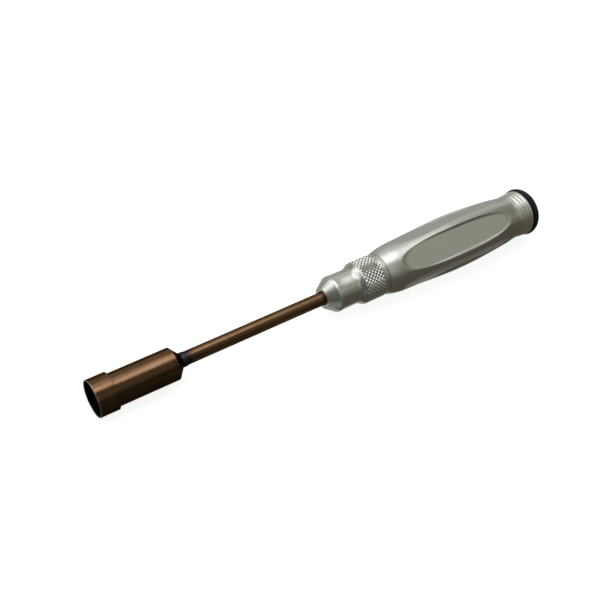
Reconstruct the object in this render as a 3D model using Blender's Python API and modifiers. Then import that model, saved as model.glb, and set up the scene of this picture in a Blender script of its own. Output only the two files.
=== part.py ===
"""Nut driver: a deep hex socket brazed to a round shank, clamped by two set screws in a fluted handle.

The tool is drawn upright, with its mouth at height 0 and its axis on Z. One empty then lays it down
along X, mouth towards -X, with the middle of its length at the origin.
"""

import math

import bmesh
import bpy
from mathutils import Matrix, Vector
from mathutils.geometry import interpolate_bezier

MM = 0.001

# Clearances: round fits, faces that seat on each other, and the film of braze
FIT_GAP = 0.2 * MM
SEAT_GAP = 0.3 * MM
BRAZE_GAP = 0.1 * MM

# Socket
HEX_ACROSS_FLATS = 8.0 * MM
HEX_CLEARANCE = 0.1 * MM
HEX_DEPTH = 12.0 * MM
MOUTH_STEP = 0.82 * MM
MOUTH_DEPTH = 2.2 * MM
PILOT_STEP = 0.15 * MM
PILOT_RELIEF = 6.0 * MM
DRILL_POINT_ANGLE = math.radians(118)
LIP_WALL = 0.68 * MM
LIP_LENGTH = 6.5 * MM
LIP_CHAMFER = 0.15 * MM
SOCKET_WALL = 0.72 * MM
SOCKET_WEB = 2.25 * MM
SOCKET_CONE_LENGTH = 2.5 * MM
SOCKET_ROOT_WALL = 0.1 * MM
SHANK_SEAT = 5.0 * MM

# Shank and the braze at its root
SHAFT_DIAMETER = 4.5 * MM
SHAFT_REACH = 53.35 * MM
SHAFT_GRIP = 18.5 * MM
SHAFT_CHAMFER = 0.4 * MM
FLAT_DEPTH = 0.35 * MM
FLAT_MARGIN = 1.5 * MM
BRAZE_LENGTH = 1.6 * MM
BRAZE_TOE = 0.1 * MM

# Nose of the handle
NOSE_FACE_WALL = 1.3 * MM
NOSE_CONE_DIAMETER = 12.65 * MM
NOSE_CONE_LENGTH = 3.75 * MM
NECK_DIAMETER = 12.25 * MM
NECK_LENGTH = 7.2 * MM
FLARE_LENGTH = 2.85 * MM
BAND_DIAMETER = 15.0 * MM
BAND_LENGTH = 0.9 * MM
KNURL_LENGTH = 7.3 * MM
KNURL_PITCH = 1.5 * MM
KNURL_DEPTH = 0.4 * MM
KNURL_CHAMFER = 0.3 * MM
GROOVE_DEPTH = 0.4 * MM
GROOVE_WIDTH = 1.25 * MM
SPIGOT_DIAMETER = 10.0 * MM
SPIGOT_LENGTH = 10.0 * MM
SPIGOT_CHAMFER = 0.5 * MM

# Set screws in the neck, by their angle round the tool from straight down
SCREW_ANGLES = {"under": 0.0, "side": math.radians(90)}
SCREW_DIAMETER = 3.0 * MM
SCREW_RECESS = 1.05 * MM
SCREW_KEY = 1.5 * MM
SCREW_KEY_DEPTH = 1.3 * MM
SCREW_CHAMFER = 0.3 * MM

# Barrel of the handle; the holds are the shares of the rear slope over which it keeps its end's direction
BARREL_LENGTH = 64.0 * MM
BARREL_FRONT_DIAMETER = 14.9 * MM
FRONT_SLOPE = 0.3
SHOULDER_DIAMETER = 17.15 * MM
SHOULDER_LENGTH = 6.2 * MM
SHOULDER_SLOPE = 0.05
CROWN_DIAMETER = 20.0 * MM
CROWN_FROM_FRONT = 32.35 * MM
CROWN_HOLD = 0.55
WAIST_DIAMETER = 15.55 * MM
WAIST_WALL = 2.4 * MM
WAIST_LAND = 1.3 * MM
WAIST_HOLD = 0.1
RING_COUNT = 3
RING_PITCH = 1.4 * MM
RING_DEPTH = 0.2 * MM
RING_WIDTH = 0.7 * MM
RING_TO_RIM = 1.55 * MM
RIM_DIAMETER = 16.5 * MM
RIM_CHAMFER = 0.3 * MM

# Milled flutes round the barrel
FLUTE_COUNT = 5
FLUTE_LAND = 1.5 * MM
FLUTE_DEPTH = 2.1 * MM
FLUTE_CORNER = 0.8 * MM
FLUTE_FROM_FRONT = 5.35 * MM
FLUTE_TO_RIM = 10.4 * MM
FLUTE_END_POWER = 2.7

# End cap
CAP_OVERHANG = 0.43 * MM
CAP_LIP_RADIUS = 0.25 * MM
CAP_DOME_RADIUS = 3.45 * MM
CAP_SPIGOT_LENGTH = 6.0 * MM
CAP_SPIGOT_WALL = 1.5 * MM

# Facets: turned pieces, small screws, arcs along an outline, and the points round a flute
ROUND_STEPS = 48
BARREL_STEPS = 40
SCREW_STEPS = 20
CURVE_PIECES = 6
EDGE_PIECES = 4
FLUTE_POINTS = 40
FLUTE_CORNER_PIECES = 3
SMOOTH_ANGLE = math.radians(32)
MERGE_DISTANCE = 0.001 * MM

# Radii that follow from the sizes above
HEX_RADIUS = (HEX_ACROSS_FLATS + HEX_CLEARANCE) / math.sqrt(3)
PILOT_RADIUS = HEX_ACROSS_FLATS / 2 - PILOT_STEP
MOUTH_RADIUS = HEX_RADIUS + MOUTH_STEP
LIP_RADIUS = MOUTH_RADIUS + LIP_WALL
SOCKET_RADIUS = HEX_RADIUS + SOCKET_WALL
SHAFT_RADIUS = SHAFT_DIAMETER / 2
BRAZE_BORE = SHAFT_RADIUS + BRAZE_GAP
SOCKET_ROOT_RADIUS = BRAZE_BORE + SOCKET_ROOT_WALL
SHANK_BORE = SHAFT_RADIUS + FIT_GAP
NECK_RADIUS = NECK_DIAMETER / 2
BAND_RADIUS = BAND_DIAMETER / 2
SCREW_RADIUS = SCREW_DIAMETER / 2
SCREW_TIP = SHAFT_RADIUS - FLAT_DEPTH + FIT_GAP
SPIGOT_RADIUS = SPIGOT_DIAMETER / 2
BARREL_BORE = WAIST_DIAMETER / 2 - WAIST_WALL
CAP_RADIUS = RIM_DIAMETER / 2 + CAP_OVERHANG

# Heights along the tool, from the mouth
HEX_END = MOUTH_DEPTH + HEX_DEPTH
PILOT_END = HEX_END + PILOT_RELIEF
PILOT_POINT = PILOT_END + PILOT_RADIUS / math.tan(DRILL_POINT_ANGLE / 2)
SOCKET_ROOT = PILOT_POINT + SOCKET_WEB + SHANK_SEAT
SHAFT_FOOT = SOCKET_ROOT - SHANK_SEAT + SEAT_GAP
NOSE_FACE = SOCKET_ROOT + SHAFT_REACH
SHAFT_END = NOSE_FACE + SHAFT_GRIP
NECK_START = NOSE_FACE + NOSE_CONE_LENGTH
SCREW_HEIGHT = NECK_START + NECK_LENGTH / 2
FLARE_START = NECK_START + NECK_LENGTH
BAND_START = FLARE_START + FLARE_LENGTH
KNURL_START = BAND_START + BAND_LENGTH
KNURL_END = KNURL_START + KNURL_LENGTH
BARREL_FACE = KNURL_END + GROOVE_WIDTH
BARREL_RIM = BARREL_FACE + BARREL_LENGTH
CAP_FACE = BARREL_RIM + FIT_GAP
OVERALL_LENGTH = CAP_FACE + CAP_LIP_RADIUS + CAP_DOME_RADIUS

for leftover in list(bpy.data.objects):
    bpy.data.objects.remove(leftover)

PARTS = bpy.data.collections.new("nut_driver")
CUTTERS = bpy.data.collections.new("cutters")
bpy.context.scene.collection.children.link(PARTS)
bpy.context.scene.collection.children.link(CUTTERS)

TOOL_AXIS = bpy.data.objects.new("tool_axis", None)
TOOL_AXIS.location.x = -OVERALL_LENGTH / 2
TOOL_AXIS.rotation_euler.y = math.radians(90)
PARTS.objects.link(TOOL_AXIS)


def finish(name, colour, roughness, metallic):
    """A plain surface finish."""
    material = bpy.data.materials.new(name)
    material.use_nodes = True
    shader = material.node_tree.nodes["Principled BSDF"]
    shader.inputs["Base Color"].default_value = (*colour, 1.0)
    shader.inputs["Roughness"].default_value = roughness
    shader.inputs["Metallic"].default_value = metallic
    return material


def place(name, mesh, material, height=0.0):
    """A piece on the tool's axis, at a height above the mouth."""
    piece = bpy.data.objects.new(name, mesh)
    piece.parent = TOOL_AXIS
    piece.location.z = height
    mesh.materials.append(material)
    PARTS.objects.link(piece)
    return piece


def cutter(name, mesh, placement):
    """A hidden tool that cuts other pieces."""
    tool = bpy.data.objects.new(name, mesh)
    tool.parent = TOOL_AXIS
    tool.matrix_local = placement
    tool.hide_render = True
    tool.display_type = "WIRE"
    CUTTERS.objects.link(tool)
    return tool


def cut(piece, tool):
    """Takes a cutter away from a piece."""
    modifier = piece.modifiers.new(tool.name, "BOOLEAN")
    modifier.operation = "DIFFERENCE"
    modifier.solver = "EXACT"
    modifier.object = tool


def facing(angle, height, radius=0.0):
    """A placement whose Z points outwards at an angle round the tool, and whose X points to the mouth."""
    around = Matrix.Translation((0, 0, height)) @ Matrix.Rotation(angle, 4, "Z")
    return around @ Matrix.Rotation(math.radians(90), 4, "Y") @ Matrix.Translation((0, 0, radius))


def mesh_from(bm, name):
    mesh = bpy.data.meshes.new(name)
    bm.to_mesh(mesh)
    bm.free()
    return mesh


def curve(start, start_handle, end_handle, end, pieces=CURVE_PIECES):
    """Points of a Bezier curve in an outline of (radius, height) points."""
    knots = [Vector((radius, height, 0.0)) for radius, height in (start, start_handle, end_handle, end)]
    return [(point.x, point.y) for point in interpolate_bezier(*knots, pieces + 1)]


def arc(radius, height, bend, start, end, pieces=CURVE_PIECES):
    """Points of an arc in an outline, round a middle (radius, height), by angles up from the outward side."""
    angles = [start + (end - start) * step / pieces for step in range(pieces + 1)]
    return [(radius + bend * math.cos(angle), height + bend * math.sin(angle)) for angle in angles]


def trace(bm, outline, closed):
    """Lays an outline of (radius, height) points into a bmesh as a run of edges."""
    points = [bm.verts.new((radius, 0.0, height)) for radius, height in outline]
    followers = points[1:] + points[:1] if closed else points[1:]
    return points + [bm.edges.new(pair) for pair in zip(points, followers)]


def turned(name, outline, material, height=0.0, steps=ROUND_STEPS):
    """A turned piece, from an outline down its outer side that ends on the axis or closes on itself.

    It is turned by half a step, so that it lies on a facet and not on an edge between two.
    """
    bm = bmesh.new()
    trace(bm, outline, closed=outline[0][0] > 0)
    piece = place(name, mesh_from(bm, name), material, height)
    turn = piece.modifiers.new("turn", "SCREW")
    turn.steps = steps
    turn.render_steps = steps
    turn.use_merge_vertices = True
    turn.merge_threshold = MERGE_DISTANCE
    piece.rotation_euler.z = math.pi / steps
    return piece


def prism(name, sides, radius, length, placement):
    """A cutter with a regular section, from the placement's origin up its Z."""
    bm = bmesh.new()
    bmesh.ops.create_cone(
        bm, cap_ends=True, segments=sides, radius1=radius, radius2=radius, depth=length
    )
    bmesh.ops.translate(bm, verts=bm.verts, vec=(0, 0, length / 2))
    return cutter(name, mesh_from(bm, name), placement)


BRONZE_STEEL = finish("bronze_steel", (0.19, 0.095, 0.045), 0.32, 1.0)
BRAZE = finish("braze", (0.06, 0.055, 0.06), 0.45, 1.0)
SATIN_ALUMINIUM = finish("satin_aluminium", (0.56, 0.56, 0.53), 0.38, 1.0)
BLACK_STEEL = finish("black_steel", (0.03, 0.03, 0.032), 0.4, 1.0)
BLACK_PLASTIC = finish("black_plastic", (0.012, 0.012, 0.012), 0.45, 0.0)


# Socket: turned outside, drilled, then broached to a hexagon behind a round mouth
socket = turned(
    "socket",
    [
        (0, SOCKET_ROOT - SHANK_SEAT),
        (BRAZE_BORE, SOCKET_ROOT - SHANK_SEAT),
        (BRAZE_BORE, SOCKET_ROOT),
        (SOCKET_ROOT_RADIUS, SOCKET_ROOT),
        (SOCKET_RADIUS, SOCKET_ROOT - SOCKET_CONE_LENGTH),
        (SOCKET_RADIUS, LIP_LENGTH),
        (LIP_RADIUS - LIP_CHAMFER, LIP_LENGTH),
        (LIP_RADIUS, LIP_LENGTH - LIP_CHAMFER),
        (LIP_RADIUS, LIP_CHAMFER),
        (LIP_RADIUS - LIP_CHAMFER, 0),
        (MOUTH_RADIUS, 0),
        (MOUTH_RADIUS, MOUTH_DEPTH),
        (PILOT_RADIUS, MOUTH_DEPTH),
        (PILOT_RADIUS, PILOT_END),
        (0, PILOT_POINT),
    ],
    BRONZE_STEEL,
)
broach_start = Matrix.Translation((0, 0, MOUTH_DEPTH / 2))
broach_length = HEX_END - MOUTH_DEPTH / 2
cut(socket, prism("hex_broach", 6, HEX_RADIUS, broach_length, broach_start))

# Braze fillet: a collar of braze between the socket's cone and the shank
turned(
    "braze_fillet",
    [
        (BRAZE_BORE + BRAZE_TOE, BRAZE_LENGTH),
        (SOCKET_ROOT_RADIUS, 0),
        (BRAZE_BORE, 0),
        (BRAZE_BORE, BRAZE_LENGTH),
    ],
    BRAZE,
    height=SOCKET_ROOT + BRAZE_GAP,
)

# Shank: a round bar with one flat under each set screw, run out to its rear end
shaft_length = SHAFT_END - SHAFT_FOOT
shaft = turned(
    "shaft",
    [
        (0, shaft_length),
        (SHAFT_RADIUS - SHAFT_CHAMFER, shaft_length),
        (SHAFT_RADIUS, shaft_length - SHAFT_CHAMFER),
        (SHAFT_RADIUS, 0),
        (0, 0),
    ],
    BRONZE_STEEL,
    height=SHAFT_FOOT,
)
flat_length = SHAFT_END - SCREW_HEIGHT + SCREW_RADIUS + FLAT_MARGIN
for side, angle in SCREW_ANGLES.items():
    name = f"flat_{side}"
    bm = bmesh.new()
    bmesh.ops.create_cube(bm, size=1.0)
    bmesh.ops.scale(bm, verts=bm.verts, vec=(flat_length * 2, SHAFT_DIAMETER, SHAFT_DIAMETER))
    bmesh.ops.translate(bm, verts=bm.verts, vec=(0, 0, SHAFT_DIAMETER - FLAT_DEPTH))
    cut(shaft, cutter(name, mesh_from(bm, name), facing(angle, SHAFT_END)))


def knurl(bm):
    """A tube of raised diamonds: crossings of the spiral grooves lie low, points between them stand high."""
    diamonds = round(math.pi * BAND_DIAMETER / KNURL_PITCH)
    rings = 2 * round(KNURL_LENGTH / KNURL_PITCH)
    low_radius = BAND_RADIUS - KNURL_DEPTH
    heights = [KNURL_START + KNURL_LENGTH * ring / rings - NOSE_FACE for ring in range(rings + 1)]
    outline = trace(bm, [(low_radius, height) for height in heights], closed=False)
    bmesh.ops.spin(
        bm, geom=outline, axis=(0, 0, 1), angle=math.tau, steps=2 * diamonds, use_merge=True
    )
    low = []
    for vert in bm.verts:
        ring = round((vert.co.z - heights[0]) / KNURL_LENGTH * rings)
        column = round(math.atan2(vert.co.y, vert.co.x) / math.pi * diamonds)
        if ring in (0, rings) or (ring + column) % 2:
            low.append(vert)
        else:
            vert.co.xy *= BAND_RADIUS / low_radius
    bmesh.ops.connect_verts(bm, verts=low)
    return diamonds


def rims(bm, height):
    """The open edges at a height."""
    return [
        edge
        for edge in bm.edges
        if edge.is_boundary and all(abs(vert.co.z - height) < MERGE_DISTANCE for vert in edge.verts)
    ]


# Nose: turned in front of and behind the knurl, which is rolled between the two
neck_bend = NECK_LENGTH / 3
flare_bend = FLARE_LENGTH / 2
groove_radius = BAND_RADIUS - GROOVE_DEPTH
spigot_end = BARREL_FACE + SPIGOT_LENGTH
nose_front = [
    (BAND_RADIUS, KNURL_START - KNURL_CHAMFER),
    *curve(
        (BAND_RADIUS, BAND_START),
        (BAND_RADIUS, BAND_START - flare_bend),
        (NECK_RADIUS, FLARE_START + flare_bend),
        (NECK_RADIUS, FLARE_START),
    ),
    *curve(
        (NECK_RADIUS, NECK_START + 2 * neck_bend),
        (NECK_RADIUS, NECK_START + neck_bend),
        (NECK_RADIUS, NECK_START + neck_bend),
        (NOSE_CONE_DIAMETER / 2, NECK_START),
        pieces=EDGE_PIECES,
    ),
    (SHANK_BORE + NOSE_FACE_WALL, NOSE_FACE),
    (SHANK_BORE, NOSE_FACE),
    (SHANK_BORE, SHAFT_END + SEAT_GAP),
    (0, SHAFT_END + SEAT_GAP),
]
nose_rear = [
    (groove_radius, KNURL_END + KNURL_CHAMFER),
    (groove_radius, BARREL_FACE - SEAT_GAP),
    (SPIGOT_RADIUS, BARREL_FACE - SEAT_GAP),
    (SPIGOT_RADIUS, spigot_end - SPIGOT_CHAMFER),
    (SPIGOT_RADIUS - SPIGOT_CHAMFER, spigot_end),
    (0, spigot_end),
]
bm = bmesh.new()
diamonds = knurl(bm)
for outline in (nose_front, nose_rear):
    run = trace(bm, [(radius, height - NOSE_FACE) for radius, height in outline], closed=False)
    bmesh.ops.spin(bm, geom=run, axis=(0, 0, 1), angle=math.tau, steps=2 * diamonds, use_merge=True)
bmesh.ops.remove_doubles(bm, verts=bm.verts, dist=MERGE_DISTANCE)
for near, far in (
    (KNURL_START - KNURL_CHAMFER, KNURL_START),
    (KNURL_END, KNURL_END + KNURL_CHAMFER),
):
    bmesh.ops.bridge_loops(bm, edges=rims(bm, near - NOSE_FACE) + rims(bm, far - NOSE_FACE))
bmesh.ops.recalc_face_normals(bm, faces=bm.faces)
nose = place("nose", mesh_from(bm, "nose"), SATIN_ALUMINIUM, NOSE_FACE)

# Set screws: two grub screws at a right angle, sunk in the neck, each over its flat
screw_length = NECK_RADIUS - SCREW_RECESS - SCREW_TIP
screw_outline = [
    (0, screw_length),
    (SCREW_RADIUS - SCREW_CHAMFER, screw_length),
    (SCREW_RADIUS, screw_length - SCREW_CHAMFER),
    (SCREW_RADIUS, SCREW_CHAMFER),
    (SCREW_RADIUS - SCREW_CHAMFER, 0),
    (0, 0),
]
key_radius = SCREW_KEY / math.sqrt(3)
tap_radius = SCREW_RADIUS + FIT_GAP
for side, angle in SCREW_ANGLES.items():
    screw = turned(f"set_screw_{side}", screw_outline, BLACK_STEEL, steps=SCREW_STEPS)
    screw.matrix_local = facing(angle, SCREW_HEIGHT, SCREW_TIP)
    key_floor = facing(angle, SCREW_HEIGHT, SCREW_TIP + screw_length - SCREW_KEY_DEPTH)
    cut(screw, prism(f"key_{side}", 6, key_radius, SCREW_KEY_DEPTH * 2, key_floor))
    tap_start = facing(angle, SCREW_HEIGHT)
    cut(nose, prism(f"tap_{side}", SCREW_STEPS, tap_radius, NECK_DIAMETER, tap_start))

# Barrel: a swelling tube with a waist near its rim and fine rings behind the waist
waist_height = BARREL_LENGTH - RING_TO_RIM - RING_PITCH * (RING_COUNT - 1) - RING_WIDTH / 2 - WAIST_LAND
waist_radius = WAIST_DIAMETER / 2
crown_radius = CROWN_DIAMETER / 2
rim_slope = (RIM_DIAMETER / 2 - waist_radius) / (BARREL_LENGTH - waist_height)
rear_slope = waist_height - CROWN_FROM_FRONT
front_third = SHOULDER_LENGTH / 3
crown_third = (CROWN_FROM_FRONT - SHOULDER_LENGTH) / 3
shoulder_radius = SHOULDER_DIAMETER / 2
front_radius = BARREL_FRONT_DIAMETER / 2
nose_bore = SPIGOT_RADIUS + FIT_GAP
nose_bore_end = SPIGOT_LENGTH + SEAT_GAP


def flare_radius(height):
    """Radius of the barrel behind its waist."""
    return waist_radius + rim_slope * (height - waist_height)


barrel_outline = [
    (BARREL_BORE, BARREL_LENGTH),
    (RIM_DIAMETER / 2 - RIM_CHAMFER, BARREL_LENGTH),
    (flare_radius(BARREL_LENGTH - RIM_CHAMFER), BARREL_LENGTH - RIM_CHAMFER),
]
for ring in range(RING_COUNT):
    middle = BARREL_LENGTH - RING_TO_RIM - RING_PITCH * ring
    for offset, depth in ((RING_WIDTH / 2, 0), (0, RING_DEPTH), (-RING_WIDTH / 2, 0)):
        barrel_outline.append((flare_radius(middle + offset) - depth, middle + offset))
barrel_outline += [
    *curve(
        (waist_radius, waist_height),
        (waist_radius, waist_height - rear_slope * WAIST_HOLD),
        (crown_radius, CROWN_FROM_FRONT + rear_slope * CROWN_HOLD),
        (crown_radius, CROWN_FROM_FRONT),
        pieces=2 * CURVE_PIECES,
    ),
    *curve(
        (crown_radius, CROWN_FROM_FRONT),
        (crown_radius, CROWN_FROM_FRONT - crown_third),
        (shoulder_radius + SHOULDER_SLOPE * crown_third, SHOULDER_LENGTH + crown_third),
        (shoulder_radius, SHOULDER_LENGTH),
    )[1:],
    *curve(
        (shoulder_radius, SHOULDER_LENGTH),
        (shoulder_radius - SHOULDER_SLOPE * front_third, SHOULDER_LENGTH - front_third),
        (front_radius + FRONT_SLOPE * front_third, front_third),
        (front_radius, 0),
        pieces=EDGE_PIECES,
    )[1:],
    (nose_bore, 0),
    (nose_bore, nose_bore_end),
    (BARREL_BORE, nose_bore_end + abs(BARREL_BORE - nose_bore)),
]
barrel = turned("barrel", barrel_outline, SATIN_ALUMINIUM, BARREL_FACE, BARREL_STEPS)

# Flutes: one cutter with a flat floor, a rounded bottom edge and tapering ends, stepped round the barrel
flute_length = BARREL_LENGTH - FLUTE_FROM_FRONT - FLUTE_TO_RIM
flute_floor = crown_radius - FLUTE_DEPTH
flute_width = 2 * flute_floor * math.tan(math.pi / FLUTE_COUNT) - FLUTE_LAND
bm = bmesh.new()
bmesh.ops.create_circle(bm, cap_ends=True, segments=FLUTE_POINTS, radius=1.0)
for vert in bm.verts:
    along, across, _ = vert.co
    vert.co.x = math.copysign(abs(along) ** (2 / FLUTE_END_POWER), along) * flute_length / 2
    vert.co.y = math.copysign(abs(across) ** (2 / FLUTE_END_POWER), across) * flute_width / 2
raised = bmesh.ops.extrude_face_region(bm, geom=list(bm.faces))["geom"]
raised_verts = [item for item in raised if isinstance(item, bmesh.types.BMVert)]
bmesh.ops.translate(bm, verts=raised_verts, vec=(0, 0, 2 * FLUTE_DEPTH))
bmesh.ops.bevel(
    bm,
    geom=[edge for edge in bm.edges if all(vert.co.z < FLUTE_DEPTH for vert in edge.verts)],
    offset=FLUTE_CORNER,
    segments=FLUTE_CORNER_PIECES,
    profile=0.5,
    affect="EDGES",
)
bmesh.ops.recalc_face_normals(bm, faces=bm.faces)
flute_mesh = mesh_from(bm, "flute")
flute_middle = BARREL_FACE + FLUTE_FROM_FRONT + flute_length / 2
for index in range(FLUTE_COUNT):
    flute_place = facing(math.tau * index / FLUTE_COUNT, flute_middle, flute_floor)
    cut(barrel, cutter(f"flute_{index + 1}", flute_mesh, flute_place))

# End cap: a disc that overhangs the rim, domed at the rear, with a hollow spigot in the barrel's bore
cap_spigot = BARREL_BORE - FIT_GAP
cap_hollow = cap_spigot - CAP_SPIGOT_WALL
spigot_foot = -FIT_GAP - CAP_SPIGOT_LENGTH
quarter = math.radians(90)
turned(
    "end_cap",
    [
        (0, CAP_LIP_RADIUS + CAP_DOME_RADIUS),
        *arc(CAP_RADIUS - CAP_DOME_RADIUS, CAP_LIP_RADIUS, CAP_DOME_RADIUS, quarter, 0),
        *arc(CAP_RADIUS - CAP_LIP_RADIUS, CAP_LIP_RADIUS, CAP_LIP_RADIUS, 0, -quarter, pieces=2)[1:],
        (cap_spigot, 0),
        (cap_spigot, spigot_foot),
        (cap_hollow, spigot_foot),
        (cap_hollow, 0),
        (0, 0),
    ],
    BLACK_PLASTIC,
    height=CAP_FACE,
)

# Round faces are shaded smooth, and edges stay crisp
graph = bpy.context.evaluated_depsgraph_get()
for piece in PARTS.objects:
    if piece.type != "MESH":
        continue
    solid = bpy.data.meshes.new_from_object(piece.evaluated_get(graph))
    piece.modifiers.clear()
    piece.data = solid
    solid.shade_smooth()
    solid.set_sharp_from_angle(angle=SMOOTH_ANGLE)
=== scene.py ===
import math
from bisect import bisect_left

import bmesh
import bpy
from mathutils import Matrix, Vector
from mathutils.geometry import interpolate_bezier


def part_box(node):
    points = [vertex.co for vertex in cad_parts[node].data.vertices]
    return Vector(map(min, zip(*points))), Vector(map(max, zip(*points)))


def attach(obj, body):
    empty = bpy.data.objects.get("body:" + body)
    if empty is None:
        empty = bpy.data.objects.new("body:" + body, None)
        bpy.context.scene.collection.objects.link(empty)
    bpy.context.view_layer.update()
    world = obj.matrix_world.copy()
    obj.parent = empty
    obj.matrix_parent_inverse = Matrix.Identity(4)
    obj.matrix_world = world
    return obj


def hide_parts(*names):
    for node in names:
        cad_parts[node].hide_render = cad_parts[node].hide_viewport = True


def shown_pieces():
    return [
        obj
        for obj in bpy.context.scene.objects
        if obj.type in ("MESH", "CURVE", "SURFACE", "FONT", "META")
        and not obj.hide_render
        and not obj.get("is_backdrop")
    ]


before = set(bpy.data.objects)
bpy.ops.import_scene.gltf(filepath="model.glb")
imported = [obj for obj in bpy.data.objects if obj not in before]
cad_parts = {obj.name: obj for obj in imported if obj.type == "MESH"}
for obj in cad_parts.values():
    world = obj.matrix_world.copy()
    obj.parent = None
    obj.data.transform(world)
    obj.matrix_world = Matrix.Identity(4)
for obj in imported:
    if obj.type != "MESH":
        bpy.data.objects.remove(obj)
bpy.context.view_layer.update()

# Camera: it looks down on the tool from the mouth's side, so that the handle
# runs up to the right and one flute faces the viewer.
MM = 0.001
scene = bpy.context.scene
camera = bpy.data.objects.new("camera", bpy.data.cameras.new("camera"))
camera.data.lens = 63.315
camera.data.sensor_width = 36.0
camera.data.clip_start = 0.01
camera.location = Vector((-158.509, -174.907, 258.812)) * MM
camera.rotation_euler = [math.radians(turn) for turn in (41.475, -5.505, -33.504)]
scene.collection.objects.link(camera)
scene.camera = camera
scene.view_settings.view_transform = "Standard"

# Shank: a round steel bar, ground and then finished in bronze brown.
# One end is brazed into the socket, and the other has a flat under each set screw.
# The steel is blue-black for a few millimetres next to the braze.
MERGE = 0.0005 * MM
CREASE_ANGLE = 38
BAR_STEPS = 96


def lathe(outline, steps):
    """A shape turned round the tool's axis, from (x, radius) points in millimetres."""
    bm = bmesh.new()
    points = [bm.verts.new((x * MM, 0.0, radius * MM)) for x, radius in outline]
    run = [bm.edges.new(pair) for pair in zip(points, points[1:])]
    bmesh.ops.spin(
        bm,
        geom=points + run,
        cent=(0, 0, 0),
        axis=(1, 0, 0),
        angle=math.tau,
        steps=steps,
        use_merge=True,
    )
    bmesh.ops.remove_doubles(bm, verts=bm.verts, dist=MERGE)
    bmesh.ops.recalc_face_normals(bm, faces=bm.faces)
    return bm


def sharp_edges(bm, angle=24):
    """The edges where two faces meet at more than an angle in degrees."""
    limit = math.radians(angle)
    return [edge for edge in bm.edges if edge.is_manifold and edge.calc_face_angle() > limit]


def break_edges(bm, edges, width, segments=3, wear=1.0):
    """Rounds edges as tumbling and handling do, and marks how far they are worn for the finish."""
    worn = bm.verts.layers.float.get("worn") or bm.verts.layers.float.new("worn")
    bevelled = bmesh.ops.bevel(
        bm,
        geom=edges,
        offset=width * MM,
        offset_type="OFFSET",
        segments=segments,
        profile=0.5,
        affect="EDGES",
        material=-1,
        clamp_overlap=True,
    )
    for face in bevelled["faces"]:
        for vert in face.verts:
            vert[worn] = wear


def add_piece(name, bm, material, body, node):
    """A finished piece in place of its plain solid, on the body that carries it."""
    bmesh.ops.dissolve_degenerate(bm, edges=bm.edges, dist=MERGE)
    mesh = bpy.data.meshes.new(name)
    bm.to_mesh(mesh)
    bm.free()
    mesh.materials.append(material)
    mesh.shade_smooth()
    mesh.set_sharp_from_angle(angle=math.radians(CREASE_ANGLE))
    piece = bpy.data.objects.new(name, mesh)
    scene.collection.objects.link(piece)
    shading = piece.modifiers.new("even_shading", "WEIGHTED_NORMAL")
    shading.keep_sharp = True
    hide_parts(node)
    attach(piece, body)


class Finish:
    """A finish that is built up from noise over the piece and from shares that its mesh carries."""

    def __init__(self, name, colour, metallic, roughness):
        self.material = bpy.data.materials.new(name)
        self.material.use_nodes = True
        self.nodes = self.material.node_tree.nodes
        self.links = self.material.node_tree.links
        self.shader = self.nodes["Principled BSDF"]
        self.shader.inputs["Base Color"].default_value = (*colour, 1.0)
        self.shader.inputs["Metallic"].default_value = metallic
        self.shader.inputs["Roughness"].default_value = roughness
        self.place = self.nodes.new("ShaderNodeTexCoord").outputs["Object"]

    def feed(self, socket, value):
        """Gives the shader a value that changes over the piece."""
        self.links.new(value, self.shader.inputs[socket])

    def speckle(self, scale, detail=3.0):
        """Noise over the piece, in cells per metre. Three numbers stretch it along X, Y and Z."""
        stretch = self.nodes.new("ShaderNodeMapping")
        stretch.inputs["Scale"].default_value = scale if isinstance(scale, tuple) else (scale, scale, scale)
        noise = self.nodes.new("ShaderNodeTexNoise")
        noise.inputs["Scale"].default_value = 1.0
        noise.inputs["Detail"].default_value = detail
        self.links.new(self.place, stretch.inputs["Vector"])
        self.links.new(stretch.outputs["Vector"], noise.inputs["Vector"])
        return noise.outputs["Fac"]

    def spread(self, value, low, high, start=0.0, end=1.0):
        """Maps a value from start..end to low..high."""
        span = self.nodes.new("ShaderNodeMapRange")
        span.inputs["From Min"].default_value = start
        span.inputs["From Max"].default_value = end
        span.inputs["To Min"].default_value = low
        span.inputs["To Max"].default_value = high
        self.links.new(value, span.inputs["Value"])
        return span.outputs["Result"]

    def tint(self, share, below, above):
        """A colour between two, by a share. Either may be a colour or another node's output."""
        mix = self.nodes.new("ShaderNodeMix")
        mix.data_type = "RGBA"
        self.links.new(share, mix.inputs["Factor"])
        for socket, colour in (("A_Color", below), ("B_Color", above)):
            entry = next(item for item in mix.inputs if item.identifier == socket)
            if isinstance(colour, tuple):
                entry.default_value = (*colour, 1.0)
            else:
                self.links.new(colour, entry)
        return next(item for item in mix.outputs if item.identifier == "Result_Color")

    def mark(self, name):
        """A share that the mesh itself carries, point by point."""
        carried = self.nodes.new("ShaderNodeAttribute")
        carried.attribute_name = name
        return carried.outputs["Fac"]

    def relief(self, height, depth, strength):
        """Fine relief of a depth in millimetres."""
        bump = self.nodes.new("ShaderNodeBump")
        bump.inputs["Strength"].default_value = strength
        bump.inputs["Distance"].default_value = depth * MM
        self.links.new(height, bump.inputs["Height"])
        self.feed("Normal", bump.outputs["Normal"])


BRONZE = (0.13, 0.073, 0.04)
BRONZE_DEEP = (0.125, 0.07, 0.037)
BRONZE_LIGHT = (0.155, 0.088, 0.049)
BRONZE_DULL = (0.11, 0.066, 0.034)
BRONZE_SHEEN = (0.3, 0.29, 0.28, 1.0)
JOINT_BLACK = (0.024, 0.022, 0.026)
BARE_STEEL = (0.26, 0.24, 0.23)
BORE_SHADE = (0.02, 0.02, 0.018)
SOCKET_ROOT_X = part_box("socket")[1].x / MM


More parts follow.
